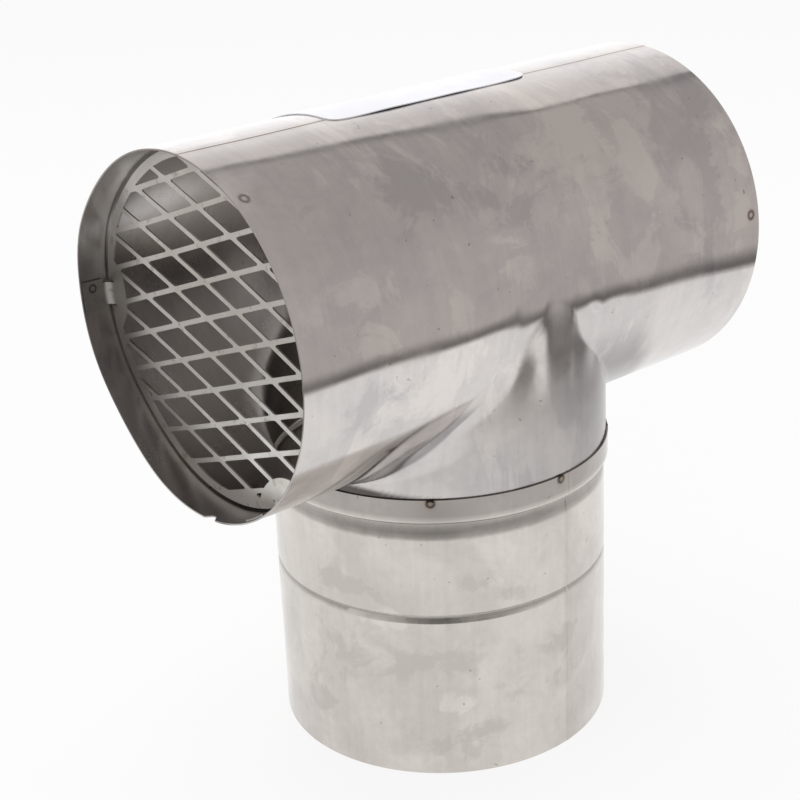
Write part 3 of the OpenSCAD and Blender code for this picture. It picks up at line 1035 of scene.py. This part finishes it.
def add_floor(stage):
    """A plain white floor that keeps the shadow of the object faintly."""
    half = stage.floor_size / 2
    mesh = bpy.data.meshes.new("floor")
    corners = [(-half, -half, 0), (half, -half, 0), (half, half, 0), (-half, half, 0)]
    mesh.from_pydata(corners, [], [(0, 1, 2, 3)])
    floor = add_object("floor", mesh)
    look = Look("floor_white")
    plain = look.node("ShaderNodeBsdfDiffuse", {"Color": (0.85, 0.85, 0.85, 1)})
    white = look.node("ShaderNodeEmission", {"Color": (1, 1, 1, 1), "Strength": 1.0})
    amount = look.times(seen_directly(look.tree), stage.floor)
    both = look.node("ShaderNodeMixShader", {0: amount, 1: plain.outputs[0], 2: white.outputs[0]})
    look.shine(both.outputs[0])
    mesh.materials.append(look.material)


def add_world():
    """White where it is seen directly, and a softer grey as light."""
    world = bpy.data.worlds.new("white_room")
    bpy.context.scene.world = world
    world.use_nodes = True
    tree = world.node_tree
    background = tree.nodes["Background"]
    shade = tree.nodes.new("ShaderNodeMix")
    shade.data_type = "RGBA"
    shade.inputs[6].default_value = (0.70, 0.70, 0.70, 1)
    shade.inputs[7].default_value = (1, 1, 1, 1)
    tree.links.new(seen_directly(tree), shade.inputs[0])
    tree.links.new(shade.outputs[2], background.inputs[0])


def add_room(stage):
    """The room as the steel reflects it: a profile carried round Z that stands where the white table ends,
    flares out to the far walls and closes overhead."""
    table, wall, top = stage.room_radius, stage.room_wall, stage.room_height
    foot = [(table, 0), (table, 0.3 * table), (1.5 * table, 0.8 * table)]
    profile = np.array(foot + [(wall, 0.6 * wall), (wall, top), (0, top)])
    bearing = np.radians(np.linspace(0, 360, 96, endpoint=False))
    r, z = profile.T[:, :, None]
    around = np.stack((r * np.cos(bearing), r * np.sin(bearing), z + 0 * bearing), 2)
    faces = grid_faces(len(r), len(bearing), 0, True)
    mesh = bpy.data.meshes.new("room")
    mesh.from_pydata(around.reshape(-1, 3).tolist(), [], faces.tolist())
    mesh.materials.append(room_grey(stage))
    room = add_object("room", mesh)
    room.visible_camera = False
    room.visible_diffuse = False
    room.visible_shadow = False


def room_grey(stage):
    """Warm grey room, darker overhead and where the table ends, with a white backdrop between two bearings
    whose upper edge has a thin dark line, and a dark spot where the camera stands. Above is the steepness
    of a place seen from the middle of the run, less that of the backdrop's edge."""
    look = Look("room_grey")
    axes = look.node("ShaderNodeSeparateXYZ", {0: look.place}).outputs
    bearing = look.times(look.math("ARCTAN2", axes[1], axes[0]), 180 / math.pi)
    flat = look.math("SQRT", look.plus(look.times(axes[0], axes[0]), look.times(axes[1], axes[1])))
    steep = look.math("DIVIDE", look.minus(axes[2], AXIS_Z), look.math("MAXIMUM", flat, 0.01))
    overhead = [0.84 * c for c in stage.room_colour]
    walls = look.mixed(look.ranged(steep, 0.1, 1.2), stage.room_colour, overhead)
    walls = look.mixed(look.ranged(axes[2], 0.016, 0.062), ROOM_FOOT, walls)
    walls = look.mixed(look.ranged(axes[2], 0.0, 0.016, 1, 0), walls, ROOM_TABLE_EDGE)
    from_camera = look.math("ABSOLUTE", look.plus(bearing, 132))
    walls = look.mixed(look.ranged(from_camera, 4, 20, 0.55, 0), walls, ROOM_CAMERA)
    above = look.minus(steep, look.ranged(bearing, 11, 19, 0.78, 0.96))
    low, high = stage.white_from, stage.white_to
    sides = look.ranged(bearing, low - 5, low + 5)
    sides = look.times(sides, look.ranged(bearing, high - 5, high + 5, 1, 0))
    line = look.times(look.ranged(above, -0.05, 0.01), look.ranged(above, 0.03, 0.14, 1, 0))
    walls = look.mixed(look.times(look.times(line, sides), 0.6), walls, ROOM_LINE)
    white = look.mixed(look.ranged(above, -0.75, -0.1), ROOM_WHITE_LOW, ROOM_WHITE_HIGH)
    below = look.ranged(above, -0.04, 0.03, 1, 0)
    light = look.mixed(look.times(below, sides), walls, white)
    look.shine(look.node("ShaderNodeEmission", {"Color": light, "Strength": 1.0}).outputs[0])
    return look.material


class PIPETEE_OT_stage(bpy.types.Operator):
    """Makes the camera, the floor, the light and the room that the steel reflects"""

    bl_idname = "pipetee.stage"
    bl_label = "Stage"

    def execute(self, context):
        stage = context.scene.tee_stage
        add_camera(stage)
        add_floor(stage)
        add_world()
        add_room(stage)
        middle = (0, 0, AXIS_Z)
        soft_light("top_light", (0.1, 0.3, 1.2), middle, 0.9, stage.top_light)
        side = soft_light("side_light", (-0.9, -0.6, 0.7), middle, 0.6, stage.side_light)
        side.visible_glossy = False
        context.scene.view_settings.view_transform = "Standard"
        return {"FINISHED"}


class PIPETEE_PT_panel(bpy.types.Panel):
    """Lists the pieces of the tee and their sizes"""

    bl_idname = "PIPETEE_PT_panel"
    bl_label = "Stove Pipe Tee"
    bl_space_type = "VIEW_3D"
    bl_region_type = "UI"
    bl_category = "Pipe Tee"

    def draw(self, context):
        for operator, group in STEPS:
            box = self.layout.box()
            box.operator(operator)
            settings = getattr(context.scene, group)
            for name in settings.bl_rna.properties.keys():
                if name not in ("rna_type", "name"):
                    box.prop(settings, name)


# Each operator and the settings that it reads, in the order in which the pieces are made
STEPS = (
    ("pipetee.stage", "tee_stage"),
    ("pipetee.body", "tee_body"),
    ("pipetee.sleeve", "tee_sleeve"),
    ("pipetee.screens", "tee_screens"),
    ("pipetee.label", "tee_label"),
)
GROUPS = {
    "tee_stage": StageSettings,
    "tee_body": TeeBodySettings,
    "tee_sleeve": SleeveSettings,
    "tee_screens": ScreenSettings,
    "tee_label": LabelSettings,
}
CLASSES = (
    *GROUPS.values(),
    PIPETEE_OT_body,
    PIPETEE_OT_sleeve,
    PIPETEE_OT_screens,
    PIPETEE_OT_label,
    PIPETEE_OT_stage,
    PIPETEE_PT_panel,
)


def register():
    """Registers the classes and hangs each group of settings on the scene."""
    for cls in CLASSES:
        bpy.utils.register_class(cls)
    for name, group in GROUPS.items():
        setattr(bpy.types.Scene, name, PointerProperty(type=group))


def unregister():
    """Takes the settings and classes away again."""
    for name in GROUPS:
        delattr(bpy.types.Scene, name)
    for cls in reversed(CLASSES):
        bpy.utils.unregister_class(cls)


def main():
    """Makes every piece in order."""
    register()
    for operator, _ in STEPS:
        group, name = operator.split(".")
        getattr(getattr(bpy.ops, group), name)()


if __name__ == "__main__":
    main()
